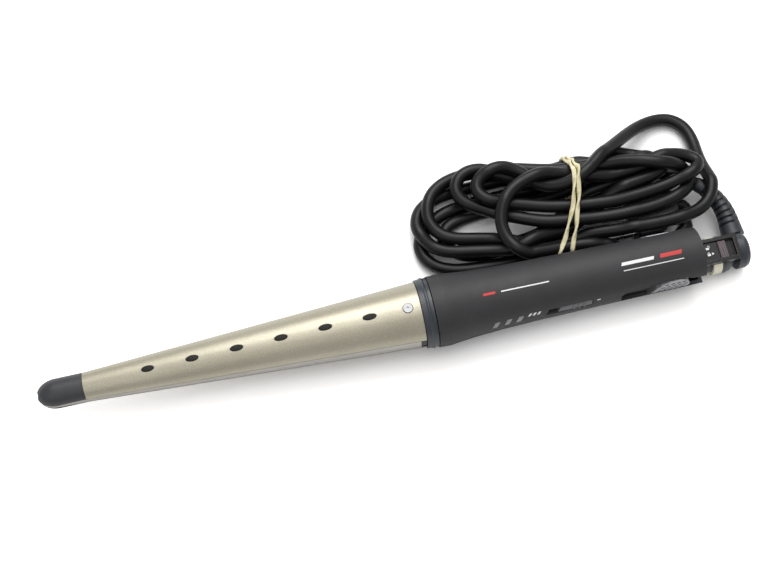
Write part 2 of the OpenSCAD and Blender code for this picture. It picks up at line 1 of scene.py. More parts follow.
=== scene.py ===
"""Looks of the hair styler: materials, the folded mains lead and the detailed pieces round the CAD frame.

Lengths in the shape code are millimetres. tool() takes a point in tool coordinates (X from the tip,
Z from the parting plane) and row() a point in the row frame, and both give metres.
"""
import json
import math

import bmesh
import bpy
import numpy as np
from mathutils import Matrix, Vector


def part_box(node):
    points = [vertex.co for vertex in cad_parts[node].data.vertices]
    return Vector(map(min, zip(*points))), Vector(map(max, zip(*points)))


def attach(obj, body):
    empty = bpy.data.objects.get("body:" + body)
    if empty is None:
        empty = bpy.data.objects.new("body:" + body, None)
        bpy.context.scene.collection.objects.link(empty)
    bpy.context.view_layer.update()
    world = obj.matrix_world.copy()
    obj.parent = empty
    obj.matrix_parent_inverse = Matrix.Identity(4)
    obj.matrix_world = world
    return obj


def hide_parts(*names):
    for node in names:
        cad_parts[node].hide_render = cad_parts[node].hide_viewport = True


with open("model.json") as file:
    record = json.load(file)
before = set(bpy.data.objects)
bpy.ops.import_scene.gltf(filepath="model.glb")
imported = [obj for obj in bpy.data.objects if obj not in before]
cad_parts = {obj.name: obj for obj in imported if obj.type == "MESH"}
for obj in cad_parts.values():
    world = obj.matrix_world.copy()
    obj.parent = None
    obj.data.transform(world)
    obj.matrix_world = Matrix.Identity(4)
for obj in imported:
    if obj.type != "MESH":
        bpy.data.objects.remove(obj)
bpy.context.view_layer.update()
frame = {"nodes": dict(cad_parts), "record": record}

MM = 0.001
TOOL_LENGTH = 0.330                    # tip to the rear of the swivel cap
PIN_DROP = 0.0008                      # the hinge pin's lowest line is this far under the parting plane
TIP_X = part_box("swivel_cap")[1].x - TOOL_LENGTH
AXIS_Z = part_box("hinge_pin")[0].z + PIN_DROP


def row(p):
    """Point in metres of a point in the row frame."""
    return Vector((p[0] * MM, p[1] * MM, p[2] * MM))


def tool(x, y, z):
    """Point in metres of a point in tool coordinates."""
    return Vector((TIP_X + x * MM, y * MM, AXIS_Z + z * MM))


def station(node, end):
    """Tool X in millimetres of a CAD node's front (0) or rear (1) end."""
    return (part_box(node)[end].x - TIP_X) / MM


X_BARREL = station("upper_barrel_shell", 0)
X_HANDLE = station("upper_handle_shell", 0)
X_TAIL = station("upper_handle_shell", 1)
CAP_GAP = 0.3                          # between the tail and the swivel cap
X_CAP = station("swivel_cap", 0) - CAP_GAP
CORD_D = 6.0
CORD_R = CORD_D / 2

# ---------------------------------------------------------------- camera

CAMERA_AT = (-0.0418, -0.1508, 0.5585)
CAMERA_TO = (-0.0042, 0.0156, 0.0170)
LENS = 58.59
SENSOR = 36


def make_camera():
    """Camera at the photograph's viewing angle."""
    data = bpy.data.cameras.new("camera")
    data.lens = LENS
    data.sensor_width = SENSOR
    data.clip_start = 0.01
    camera = bpy.data.objects.new("camera", data)
    camera.location = CAMERA_AT
    aim = Vector(CAMERA_TO) - Vector(CAMERA_AT)
    camera.rotation_euler = aim.to_track_quat("-Z", "Y").to_euler()
    bpy.context.scene.collection.objects.link(camera)
    bpy.context.scene.camera = camera
    bpy.context.scene.view_settings.view_transform = "Standard"


make_camera()

# ---------------------------------------------------------------- materials


def nodes_of(name):
    m = bpy.data.materials.new(name)
    m.use_nodes = True
    tree = m.node_tree
    return m, tree, tree.nodes["Principled BSDF"]


def noise(tree, scale, detail=3, rough=0.55, stretch=None):
    """Noise in the object's own coordinates."""
    coords = tree.nodes.new("ShaderNodeTexCoord")
    tex = tree.nodes.new("ShaderNodeTexNoise")
    tex.inputs["Scale"].default_value = scale
    tex.inputs["Detail"].default_value = detail
    tex.inputs["Roughness"].default_value = rough
    if stretch:
        mapping = tree.nodes.new("ShaderNodeMapping")
        mapping.inputs["Scale"].default_value = stretch
        tree.links.new(coords.outputs["Object"], mapping.inputs["Vector"])
        tree.links.new(mapping.outputs["Vector"], tex.inputs["Vector"])
    else:
        tree.links.new(coords.outputs["Object"], tex.inputs["Vector"])
    return tex.outputs["Fac"]


def ramp(tree, value, stops):
    """Colours over a value, from stops of (position, colour)."""
    node = tree.nodes.new("ShaderNodeValToRGB")
    while len(node.color_ramp.elements) < len(stops):
        node.color_ramp.elements.new(0.5)
    for element, (at, color) in zip(node.color_ramp.elements, stops):
        element.position = at
        element.color = (*color, 1) if len(color) == 3 else color
    tree.links.new(value, node.inputs["Fac"])
    return node.outputs["Color"]


def mix(tree, factor, a, b, kind="MIX"):
    """Blend of two colours by a factor, each a value or a socket."""
    node = tree.nodes.new("ShaderNodeMix")
    node.data_type = "RGBA"
    node.blend_type = kind
    for socket, value in ((node.inputs[0], factor), (node.inputs[6], a), (node.inputs[7], b)):
        if isinstance(value, bpy.types.NodeSocket):
            tree.links.new(value, socket)
        elif isinstance(value, (int, float)):
            socket.default_value = value
        else:
            socket.default_value = (*value, 1)
    return node.outputs[2]


def bump(tree, shader, height, strength, distance=0.00005):
    node = tree.nodes.new("ShaderNodeBump")
    node.inputs["Strength"].default_value = strength
    node.inputs["Distance"].default_value = distance
    tree.links.new(height, node.inputs["Height"])
    tree.links.new(node.outputs["Normal"], shader.inputs["Normal"])


def remap(tree, value, low, high, start=0.0, end=1.0):
    """A value, moved from start..end to low..high."""
    node = tree.nodes.new("ShaderNodeMapRange")
    node.inputs["From Min"].default_value = start
    node.inputs["From Max"].default_value = end
    node.inputs["To Min"].default_value = low
    node.inputs["To Max"].default_value = high
    tree.links.new(value, node.inputs["Value"])
    return node.outputs["Result"]


def plastic(name, color, rough=0.45, vary=0.12, grain=2600, grain_depth=0.25, dust=0.0, specular=0.5):
    """Moulded plastic or rubber: fine grain, soft colour variation and a little pale dust."""
    m, tree, shader = nodes_of(name)
    cloud = noise(tree, 60, 4)
    dark = tuple(c * (1 - vary) for c in color)
    light = tuple(min(1, c * (1 + vary)) for c in color)
    base = ramp(tree, cloud, [(0.3, dark), (0.7, light)])
    if dust:
        specks = ramp(tree, noise(tree, 900, 2, 0.7), [(0.66, (0, 0, 0)), (0.78, (dust, dust, dust))])
        base = mix(tree, specks, base, (0.42, 0.41, 0.4))
    tree.links.new(base, shader.inputs["Base Color"])
    fine = noise(tree, grain, 2, 0.5)
    tree.links.new(remap(tree, noise(tree, 140, 3), rough - 0.06, rough + 0.08), shader.inputs["Roughness"])
    shader.inputs["Specular IOR Level"].default_value = specular
    bump(tree, shader, fine, grain_depth)
    return m


def metal(name, color, rough=0.3, vary=0.06, brushed=None):
    """Bare or painted metal with fine streaks, drawn out along X where brushed says so."""
    m, tree, shader = nodes_of(name)
    cloud = noise(tree, 90, 4)
    dark = tuple(c * (1 - vary) for c in color)
    base = ramp(tree, cloud, [(0.3, dark), (0.7, color)])
    tree.links.new(base, shader.inputs["Base Color"])
    shader.inputs["Metallic"].default_value = 1.0
    streaks = noise(tree, 700, 3, 0.6, brushed)
    tree.links.new(remap(tree, streaks, rough - 0.07, rough + 0.1), shader.inputs["Roughness"])
    bump(tree, shader, streaks, 0.12)
    return m


def champagne():
    """Metallic paint: fine bright and dark flakes over a warm grey coat, with faint rubbed streaks."""
    m, tree, shader = nodes_of("champagne_coat")
    cells = tree.nodes.new("ShaderNodeTexVoronoi")
    cells.inputs["Scale"].default_value = 5200
    coords = tree.nodes.new("ShaderNodeTexCoord")
    tree.links.new(coords.outputs["Object"], cells.inputs["Vector"])
    grey = tree.nodes.new("ShaderNodeSeparateColor")
    tree.links.new(cells.outputs["Color"], grey.inputs["Color"])
    flakes = ramp(tree, grey.outputs["Red"], [
        (0.0, (0.375, 0.345, 0.26)), (0.6, (0.43, 0.398, 0.31)), (1.0, (0.50, 0.47, 0.38)),
    ])
    cloud = ramp(tree, noise(tree, 45, 3), [(0.3, (0.93, 0.93, 0.92)), (0.7, (1.0, 1.0, 1.0))])
    tree.links.new(mix(tree, 1.0, flakes, cloud, "MULTIPLY"), shader.inputs["Base Color"])
    shader.inputs["Metallic"].default_value = 0.72
    rough = remap(tree, noise(tree, 500, 3, 0.6, (0.15, 1, 1)), 0.36, 0.45)
    tree.links.new(rough, shader.inputs["Roughness"])
    shader.inputs["Coat Weight"].default_value = 0.25
    shader.inputs["Coat Roughness"].default_value = 0.22
    bump(tree, shader, grey.outputs["Red"], 0.1, 0.00002)
    return m


def clear_window():
    """Milky light window: cloudy grey that lets a little light in."""
    m, tree, shader = nodes_of("milky_window")
    base = ramp(tree, noise(tree, 400, 2), [(0.3, (0.20, 0.20, 0.21)), (0.7, (0.28, 0.28, 0.29))])
    tree.links.new(base, shader.inputs["Base Color"])
    shader.inputs["Roughness"].default_value = 0.22
    shader.inputs["Transmission Weight"].default_value = 0.15
    bump(tree, shader, noise(tree, 1500, 2), 0.1)
    return m


def band_rubber():
    """Blotchy cream rubber that scatters light a little."""
    m, tree, shader = nodes_of("cream_band")
    base = ramp(tree, noise(tree, 350, 4), [(0.3, (0.52, 0.47, 0.26)), (0.7, (0.78, 0.72, 0.50))])
    tree.links.new(base, shader.inputs["Base Color"])
    shader.inputs["Roughness"].default_value = 0.55
    shader.inputs["Subsurface Weight"].default_value = 0.15
    shader.inputs["Subsurface Radius"].default_value = (0.001, 0.0008, 0.0004)
    bump(tree, shader, noise(tree, 1800, 3), 0.4)
    return m


MATERIALS = {
    "tip_plastic": plastic("charcoal_tip", (0.030, 0.031, 0.034), 0.42, 0.15, 1500, 0.35, 0.10),
    "champagne_metal": champagne(),
    "plate_titanium": metal("titanium_plate", (0.42, 0.40, 0.37), 0.28, 0.08, (0.1, 1, 1)),
    "black_plastic": plastic("black_moulding", (0.014, 0.014, 0.015), 0.4),
    "soft_touch": plastic("soft_touch_coat", (0.026, 0.025, 0.027), 0.54, 0.10, 2200, 0.35, 0.05, 0.4),
    "satin_blue_grey": plastic("satin_blue_grey_coat", (0.026, 0.031, 0.038), 0.36, 0.10, 1800, 0.2, 0.06),
    "steel": metal("bright_steel", (0.33, 0.33, 0.34), 0.42),
    "heater_ceramic": plastic("ceramic_white", (0.72, 0.69, 0.62), 0.6),
    "board_green": plastic("board_lacquer", (0.02, 0.13, 0.05), 0.3),
    "board_parts": plastic("component_epoxy", (0.03, 0.03, 0.034), 0.4),
    "window_clear": clear_window(),
    "slider_grey": plastic("slider_moulding", (0.10, 0.10, 0.106), 0.42, 0.1, 1800, 0.2),
    "nylon": plastic("nylon_natural", (0.62, 0.58, 0.50), 0.5),
    "pad_silver": metal("silver_paint", (0.33, 0.33, 0.345), 0.42),
    "ivory": plastic("ivory_moulding", (0.74, 0.70, 0.55), 0.4, 0.05, 1500, 0.1),
    "gloss_black": plastic("gloss_black_moulding", (0.011, 0.011, 0.012), 0.16, 0.1, 900, 0.04),
    "lock_grey": plastic("lock_moulding", (0.10, 0.075, 0.080), 0.32, 0.1, 1500, 0.1),
    "boot_rubber": plastic("boot_rubber_grain", (0.022, 0.024, 0.028), 0.46, 0.12, 1900, 0.4, 0.08),
    "cord_rubber": plastic("lead_rubber_grain", (0.0040, 0.0040, 0.0044), 0.38, 0.16, 1500, 0.25, 0.02, 0.3),
    "band_rubber": band_rubber(),
    "plug_black": plastic("plug_moulding", (0.014, 0.014, 0.015), 0.4, 0.12, 1500, 0.2),
    "pin_metal": metal("nickel_pin", (0.60, 0.59, 0.56), 0.25),
}
MARK_WHITE = plastic("print_white", (0.74, 0.74, 0.73), 0.5, 0.04, 1500, 0.05)
MARK_RED = plastic("print_red", (0.52, 0.030, 0.028), 0.45, 0.08, 1500, 0.05)
VENT_RUBBER = plastic("vent_plug_rubber", (0.009, 0.009, 0.007), 0.55, 0.12, 1500, 0.2, 0.0, 0.25)
# painted shade: flat black that stands in for the shaded hollows of the side pads' slots
SLOT_SHADE_BLACK = plastic("painted_slot_shade", (0.006, 0.006, 0.006), 0.5, 0.05, 1500, 0.05)

# ---------------------------------------------------------------- mesh helpers


def link(name, data, body, slot, material=None):
    piece = bpy.data.objects.new(name, data)
    bpy.context.scene.collection.objects.link(piece)
    data.materials.append(material or MATERIALS[slot])
    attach(piece, body)
    return piece


def mesh_from(name, points, faces, smooth_angle=35):
    mesh = bpy.data.meshes.new(name)
    mesh.from_pydata([tuple(p) for p in points], [], faces)
    tidy = bmesh.new()
    tidy.from_mesh(mesh)
    bmesh.ops.remove_doubles(tidy, verts=tidy.verts, dist=1e-6)
    bmesh.ops.recalc_face_normals(tidy, faces=tidy.faces)
    tidy.to_mesh(mesh)
    tidy.free()
    mesh.polygons.foreach_set("use_smooth", [True] * len(mesh.polygons))
    mesh.set_sharp_from_angle(angle=math.radians(smooth_angle))
    return mesh


def loft(name, rings, closed_ends=True, smooth_angle=35):
    """One skin over rings of the same number of points."""
    count = len(rings[0])
    points = [p for ring in rings for p in ring]
    faces = []
    for i in range(len(rings) - 1):
        for k in range(count):
            a, b = i * count + k, i * count + (k + 1) % count
            faces.append((a, b, b + count, a + count))
    if closed_ends:
        faces.append(tuple(range(count))[::-1])
        faces.append(tuple((len(rings) - 1) * count + k for k in range(count)))
    return mesh_from(name, points, faces, smooth_angle)


def join_meshes(name, meshes):
    whole = bmesh.new()
    for mesh in meshes:
        whole.from_mesh(mesh)
    out = bpy.data.meshes.new(name)
    whole.to_mesh(out)
    whole.free()
    for mesh in meshes:
        bpy.data.meshes.remove(mesh)
    return out


def bevelled_prism(name, outline, height, place, edge=0.2, steps=3):
    """Prism over a closed outline of (u, v), its top edge rounded; place(u, v, h) gives the point."""
    pts = np.array(outline, float)
    back, ahead = np.roll(pts, 1, 0), np.roll(pts, -1, 0)
    d1 = (pts - back) / np.linalg.norm(pts - back, axis=1)[:, None]
    d2 = (ahead - pts) / np.linalg.norm(ahead - pts, axis=1)[:, None]
    area = 0.5 * np.sum(pts[:, 0] * ahead[:, 1] - ahead[:, 0] * pts[:, 1])
    side = 1 if area > 0 else -1
    n1, n2 = np.stack([-d1[:, 1], d1[:, 0]], 1), np.stack([-d2[:, 1], d2[:, 0]], 1)
    inward = side * (n1 + n2) / np.maximum(1 + np.sum(n1 * n2, 1), 0.4)[:, None]
    rings = [[place(u, v, 0) for u, v in pts]]
    for k in range(steps + 1):
        turn = math.pi / 2 * k / steps
        inset = edge * (1 - math.cos(turn))
        level = height - edge + edge * math.sin(turn)
        rings.append([place(u, v, level) for u, v in pts + inward * inset])
    return loft(name, rings)


def resample(points, step):
    """The same line with its points about a step apart."""
    pts = np.array(points, float)
    s = np.r_[0, np.cumsum(np.linalg.norm(np.diff(pts, axis=0), axis=1))]
    u = np.linspace(0, s[-1], int(round(s[-1] / step)) + 1)
    return np.stack([np.interp(u, s, pts[:, k]) for k in range(pts.shape[1])], 1)


def spline(points, step):
    """Centripetal Catmull-Rom curve through the points, as points about a step apart."""
    pts = np.array(points, float)
    last = len(pts) - 1
    out = []
    for i in range(last):
        a, b, c, d = pts[max(i - 1, 0)], pts[i], pts[i + 1], pts[min(i + 2, last)]
        ta, tb, tc = (max(np.linalg.norm(q - p), 1e-6) ** 0.5 for p, q in ((a, b), (b, c), (c, d)))
        m1 = c - b
        m2 = c - b
        if i > 0:
            m1 = m1 + tb * ((b - a) / ta - (c - a) / (ta + tb))
        if i < last - 1:
            m2 = m2 + tb * ((d - c) / tc - (d - b) / (tb + tc))
        t = np.linspace(0, 1, max(4, int(np.linalg.norm(c - b) / step * 3)), endpoint=False)[:, None]
        out.append(
            (2 * t**3 - 3 * t**2 + 1) * b + (t**3 - 2 * t**2 + t) * m1
            + (3 * t**2 - 2 * t**3) * c + (t**3 - t**2) * m2
        )
    return resample(np.concatenate(out + [pts[-1:]]), step)


def curve_from(name, points, radius):
    """Round, capped tube along the points."""
    data = bpy.data.curves.new(name, "CURVE")
    data.dimensions = "3D"
    data.bevel_depth = radius
    data.bevel_resolution = 6
    data.use_fill_caps = True
    line = data.splines.new("POLY")
    line.points.add(len(points) - 1)
    for point, place in zip(line.points, points):
        point.co = (*place, 1)
    line.use_smooth = True
    return data


# ---------------------------------------------------------------- the mains lead

WAIST_X = 95          # the tie holds the hank here


def left_fold(x, y, h, z, z_far=None, z_near=None, reach=14):
    """Points round a fold at the hank's front end: its extreme x, middle y, half height and level."""
    span = h * 1.1
    return [
        (x + span + reach, y + h, z_far or z), (x + span * 0.38, y + h * 0.8, z), (x, y, z),
        (x + span * 0.38, y - h * 0.8, z), (x + span + reach, y - h, z_near or z),
    ]


def waist(y, z):
    """A run's point at the tie."""
    return [(WAIST_X, y, z)]


BOOT_L = 33.0
BOOT_STRAIGHT = 9.6                    # it leaves the swivel cap straight for this far, then bends
BOOT_BEND = math.radians(50)
BOOT_ROOT = 6.4                        # Y of its root
BOOT_BACK = 2.7                        # from the tail's end back to its axis
BEND_R = (BOOT_L - BOOT_STRAIGHT) / BOOT_BEND
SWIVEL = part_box("swivel_cap")
SWIVEL_Z = (SWIVEL[0].z + SWIVEL[1].z) / 2 / MM
BOOT_X = TIP_X / MM + X_CAP + BOOT_BACK


def boot_turn(along):
    """Angle by which the strain relief's axis has turned at this distance from its root."""
    return max(0.0, along - BOOT_STRAIGHT) / BEND_R


def boot_point(along):
    """Point on the strain relief's axis, measured from its root."""
    a = boot_turn(along)
    y = BOOT_ROOT + min(along, BOOT_STRAIGHT) + BEND_R * math.sin(a)
    return (BOOT_X - BEND_R * (1 - math.cos(a)), y, SWIVEL_Z)


# the plug's front and middle line, and its size; then its pins
PLUG_X, PLUG_Y, PLUG_L, PLUG_W, PLUG_H = 118, 29, 21, 27, 13.6
PIN_L, PIN_PITCH, PIN_R = 19, 18.6, 2.0

# where the lead runs, before it settles: first under the hank, last into the plug
ROUTE = (
    # out of the strain relief and forward under the hank
    [boot_point(BOOT_L), (147.9, 40, 8.5), (142.5, 45.2, 6.8), (134, 49, 4), (120, 51, 3.1), (108, 52, 3.1)]
    + waist(53, 3.1) + left_fold(15, 35, 15, 3.1) + [(68, 20.5, 3.1)] + waist(34, 3.1)
    + [(103, 43, 3.1), (113, 45.7, 3.1), (124, 45.8, 3.1), (134, 46, 5), (140.5, 48.5, 8.4), (139, 54, 8.6),
       (131, 57.5, 5), (120, 58.5, 5), (108, 57, 9.2)]
    + waist(47, 3.1) + left_fold(26, 37, 11.5, 3.1) + [(66, 25.5, 3.1)] + waist(40.5, 3.1)
    + [(104, 46, 8.8), (114, 46.2, 9.2), (125, 46, 9.5), (133, 47.5, 11.5), (135, 51.5, 12.5),
       (129, 54.5, 11.5), (118, 56, 9.5), (107, 58, 5)]
    + waist(59.5, 3.1) + left_fold(15.5, 43.5, 16.5, 7, 3.1, 8.5) + [(66, 22, 9)] + waist(30, 9)
    + [(106, 37, 13), (116, 41, 16.8), (130, 41.5, 16.8), (139, 43.5, 17.2), (142, 47, 17), (137, 50.5, 14),
       (124, 52.5, 12), (108, 54, 10)]
    + waist(50, 9) + [(72, 53, 12)] + left_fold(36, 56, 10, 14.5, 14.5, 15, 8) + [(62, 39, 15), (76, 31, 15)]
    + waist(29, 15)
    + [(106, 27.5, 16.5), (120, 26.5, 16.9), (133, 27.5, 16.9), (144, 30.5, 16.9), (151, 34.5, 16.8),
       (151.5, 40, 17.5), (145, 44.5, 20), (134, 47.5, 21.5), (122, 49.5, 19.5), (110, 50.5, 16)]
    + waist(53, 14.5) + left_fold(21.5, 47.5, 18, 11, 11, 9) + [(66, 22, 6)] + waist(22.5, 9.2)
    # over the strain relief and round the loose loop behind
    + [(108, 19.5, 14.5), (120, 18.8, 16.8), (134, 18.8, 16.8), (146, 19.5, 16.6), (154, 22.5, 15.8),
       (158.2, 28, 15.6), (157.9, 36, 14.5), (156, 44, 11), (157.5, 53, 7), (159.8, 61, 4), (158.6, 69, 3.1),
       (152, 75.5, 3.1), (142.5, 75.5, 3.4), (131.5, 71, 8), (121, 64, 15),
       (112, 57.5, 20.5), (104, 51.5, 23)]
    + [(96, 45.5, 23), (84, 45.5, 19.5)] + left_fold(45, 53.5, 10, 16.5, 17, 16, 9) + [(75, 39, 16)]
    + waist(36, 15.5)
    + [(108, 34.5, 16.8), (120, 34, 17.4), (133, 35.5, 18), (146, 38.5, 18.5), (154, 40.5, 18.5),
       (158.8, 44, 18), (155, 48.3, 17.5), (146, 49.5, 17), (131, 50, 16.5), (114, 50.5, 15.8)]
    # the last fold lies on top and comes back between the hank and the handle
    + waist(51.5, 16.5)
    + [(79, 54, 18.5), (66, 52.5, 20), (57.5, 46, 20), (53.6, 37, 19.5), (54.2, 26, 18), (61, 18.6, 16.5),
       (72, 18, 15.5), (84, 18.5, 13)]
    + waist(18.6, 13.2)
    + [(100.4, 18, 12.2), (103.5, 15.9, 10.4), (107, 14.6, 7.4), (114, 12.8, 4.2), (122, 12.1, 3.2),
       (132, 12.1, 3.1), (139.5, 14, 3.2), (144, 18.5, 3.8), (145, 24, 5.2), (143, 28, 6.4),
       (PLUG_X + PLUG_L, PLUG_Y, PLUG_H / 2)]
)

# radius of the handle at distances from its front end
HANDLE_PROFILE = np.array([
    [0, 16.1], [5.5, 16.3], [10.5, 15.7], [17.5, 15], [29.5, 14.3],
    [46.5, 13.8], [65.5, 13.5], [93.5, 13.1], [112.5, 13], [126, 12.8],
])


def handle_radius(x):
    """Radius of the handle at tool X."""
    return np.interp(x - X_HANDLE, HANDLE_PROFILE[:, 0], HANDLE_PROFILE[:, 1])


APART = CORD_D + 0.05                  # turns lie this far from each other, centre to centre
HANDLE_GAP = 1.0                       # room beside the handle, so the lead can swivel a little towards it
TABLE_GAP = 0.05
TOUCH_GAP = 0.1                        # room round the plug, its pins and the strain relief
HELD = 3                               # points at each end that stay where they are
PLUG_RUN = 7                           # last points, which may be inside the plug
BOOT_RUN = 9                           # first points, which may be inside the strain relief
LOW_RUN = 26                           # last points, which pass under the handle and aren't eased
TAIL_ROOM = 1.4                        # the handle pushes the lead away this far past its rear end
STEP = 4.0                             # distance between points while the lead settles
FINE_STEP = 1.4                        # and on the finished line
EASE_PASSES = 14
PLUG_LOW = np.array([PLUG_X - CORD_R, PLUG_Y - PLUG_W / 2 - CORD_R, -10])
PLUG_HIGH = np.array([PLUG_X + PLUG_L + CORD_R, PLUG_Y + PLUG_W / 2 + CORD_R, PLUG_H + CORD_R + TOUCH_GAP])
BALL_RADII = (5.3, 4.8, 4.5, 4.3, 4.1, 3.9, 3.7, 3.5)       # balls that fill the strain relief, 4 mm apart
BOOT_BALLS = [(np.array(boot_point(4 + 4 * i)), r) for i, r in enumerate(BALL_RADII)]


def keep_length(p, w, segment):
    """Brings neighbours back to their distance, even pairs and odd pairs in turn."""
    index = np.arange(len(p))
    for start in (0, 1) * 3:
        a = index[start:-1:2]
        b = a + 1
        d = p[b] - p[a]
        length = np.linalg.norm(d, axis=1)[:, None]
        share = np.maximum(w[a] + w[b], 1e-9)
        shift = (length - segment) / length * d / share
        p[a] += shift * w[a]
        p[b] -= shift * w[b]


def push_apart(p, w, far):
    """Moves turns that press into each other apart."""
    delta = p[:, None, :] - p[None, :, :]
    dist = np.sqrt((delta**2).sum(2)) + 1e-9
    i, j = np.nonzero(np.triu(far & (dist < APART)))
    if not len(i):
        return
    push = delta[i, j] / dist[i, j][:, None] * (APART - dist[i, j])[:, None]
    share = np.maximum(w[i] + w[j], 1e-9)
    move = np.zeros_like(p)
    hits = np.zeros(len(p))
    np.add.at(move, i, push * w[i] / share)
    np.add.at(move, j, -push * w[j] / share)
    np.add.at(hits, i, 1)
    np.add.at(hits, j, 1)
    p += move / np.maximum(hits, 1)[:, None] * 1.3


def keep_off(p, centres, distance, may):
    """Moves points that may move to at least a distance from their centres."""
    d = p - centres
    length = np.linalg.norm(d, axis=1)
    hit = (length < distance) & may
    p = p.copy()
    p[hit] = centres[hit] + d[hit] / length[hit][:, None] * distance
    return p


def clear_neighbours(p, free):
    """Keeps the lead above the table and out of the handle, the plug, its pins and the strain relief."""
    n = len(p)
    index = np.arange(n)
    p[:, 2] = np.where(free, np.maximum(p[:, 2], CORD_R + TABLE_GAP), p[:, 2])
    reach = handle_radius(p[:, 0] - TIP_X / MM) + CORD_R + HANDLE_GAP
    up = p[:, 2] - AXIS_Z / MM
    inside = (np.hypot(p[:, 1], up) < reach) & (p[:, 0] < X_TAIL + TIP_X / MM + TAIL_ROOM) & free
    p[:, 1] = np.where(inside, np.sqrt(np.maximum(reach**2 - up**2, 0)), p[:, 1])
    hit = ((p > PLUG_LOW) & (p < PLUG_HIGH)).all(1) & free & (index < n - PLUG_RUN)
    if hit.any():
        q = p[hit]
        gaps = np.stack([q[:, 1] - PLUG_LOW[1], PLUG_HIGH[1] - q[:, 1], PLUG_HIGH[2] - q[:, 2],
                         PLUG_HIGH[0] - q[:, 0]], 1)
        nearest = gaps.argmin(1)
        for side, (axis, level) in enumerate(((1, PLUG_LOW), (1, PLUG_HIGH), (2, PLUG_HIGH), (0, PLUG_HIGH))):
            q[nearest == side, axis] = level[axis]
        p[hit] = q
    for side in (-1, 1):
        pin = np.stack([np.clip(p[:, 0], PLUG_X - PIN_L, PLUG_X), np.full(n, PLUG_Y + side * PIN_PITCH / 2),
                        np.full(n, PLUG_H / 2)], 1)
        p = keep_off(p, pin, PIN_R + CORD_R + TOUCH_GAP, free)
    for centre, r in BOOT_BALLS:
        p = keep_off(p, np.broadcast_to(centre, p.shape), r + CORD_R + TOUCH_GAP, free & (index >= BOOT_RUN))
    return p


def settle(path, passes=300, ease=False):
    """Lets the lead lie down near its route, with its length kept, clear of itself and its neighbours.

    With ease it rounds its bends out instead, still clear of itself and its neighbours.
    """
    p = path.copy()
    n = len(p)
    index = np.arange(n)
    segment = np.linalg.norm(np.diff(p, axis=0), axis=1).mean()
    free = (index >= HELD) & (index < n - HELD)
    w = free[:, None].astype(float)
    loose = w * (index < n - LOW_RUN)[:, None]
    far = np.abs(index[:, None] - index[None, :]) > math.ceil(APART * 1.6 / segment) + 1
    for turn in range(passes):
        if ease:
            p[1:-1] += ((p[:-2] + p[2:]) / 2 - p[1:-1]) * 0.3 * loose[1:-1]
            p += (path - p) * 0.02 * w
        else:
            p[:, 2] -= 0.02 * free
            p += (path - p) * (0.04 if turn < passes * 0.6 else 0.012) * w
            for k, strength in ((1, 0.05), (2, 0.01)):
                p[k:-k] += ((p[:-2 * k] + p[2 * k:]) / 2 - p[k:-k]) * strength * w[k:-k]
            keep_length(p, w, segment)
        for _ in range(2):
            push_apart(p, w, far)
            p = clear_neighbours(p, free)
    return p


lead_line = spline(settle(settle(spline(ROUTE, STEP)), EASE_PASSES, ease=True), FINE_STEP)
lead_line[:, 2] = np.maximum(lead_line[:, 2], CORD_R + 0.02)
lead_curve = curve_from("mains_lead", [row(p) for p in lead_line], CORD_R * MM)
lead = link("mains_lead", lead_curve, "lead", "cord_rubber")
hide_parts("cord_lead", "cord_loop", "cord_tail", "cord_hank")

# ---------------------------------------------------------------- what is on the lead


# slits of the strain relief: angle of the middle, half width of the sweep, shift along it
SLIT_SIDES = ((2.2, 1.05, 0.0), (2.2 - math.pi, 1.05, 0.0), (0.62, 0.42, 1.5), (0.62 - math.pi, 0.42, 1.5))
SLIT_FIRST, SLIT_PITCH, SLIT_COUNT, SLIT_W, SLIT_DEPTH = 6.6, 3.0, 8, 0.95, 1.2


def boot_radius(along):
    """Radius of the strain relief at this distance from its root."""
    stations = (0, 1.4, 3, 9, 20, BOOT_L - 1.2, BOOT_L - 0.4, BOOT_L)
    return np.interp(along, stations, (5.3, 5.3, 5.15, 4.7, 4.1, 3.4, 3.3, 3.05))


def boot_mesh():
    """Strain relief: a tapered sleeve that bends with the lead, with rows of curved slits."""
    sides, steps, start = 80, 190, 0.9
    rings = []
    for i in range(steps + 1):
        along = start + (BOOT_L - start) * i / steps
        turn = boot_turn(along)
        across = np.array([math.cos(turn), math.sin(turn), 0])
        r = boot_radius(along)
        ring = []
        for k in range(sides):
            a = 2 * math.pi * k / sides
            depth = 0
            for middle, half, shift in SLIT_SIDES:
                off = abs(math.atan2(math.sin(a - middle), math.cos(a - middle)))
                edge = min(1, max(0, (half - off) / 0.12))
                nearest = round((along - SLIT_FIRST - shift) / SLIT_PITCH)
                if edge and 0 <= nearest < SLIT_COUNT:
                    gap = abs(along - SLIT_FIRST - shift - nearest * SLIT_PITCH)
                    depth = max(depth, edge * min(1, max(0, (SLIT_W / 2 + 0.1 - gap) / 0.2)) * SLIT_DEPTH)
            spoke = math.cos(a) * across + np.array([0, 0, math.sin(a)])
            ring.append(row(np.array(boot_point(along)) + (r - depth) * spoke))
        rings.append(ring)
    return loft("boot", rings, True, 50)


boot = link("strain_relief_sleeve", boot_mesh(), "lead", "boot_rubber")
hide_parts("strain_relief")


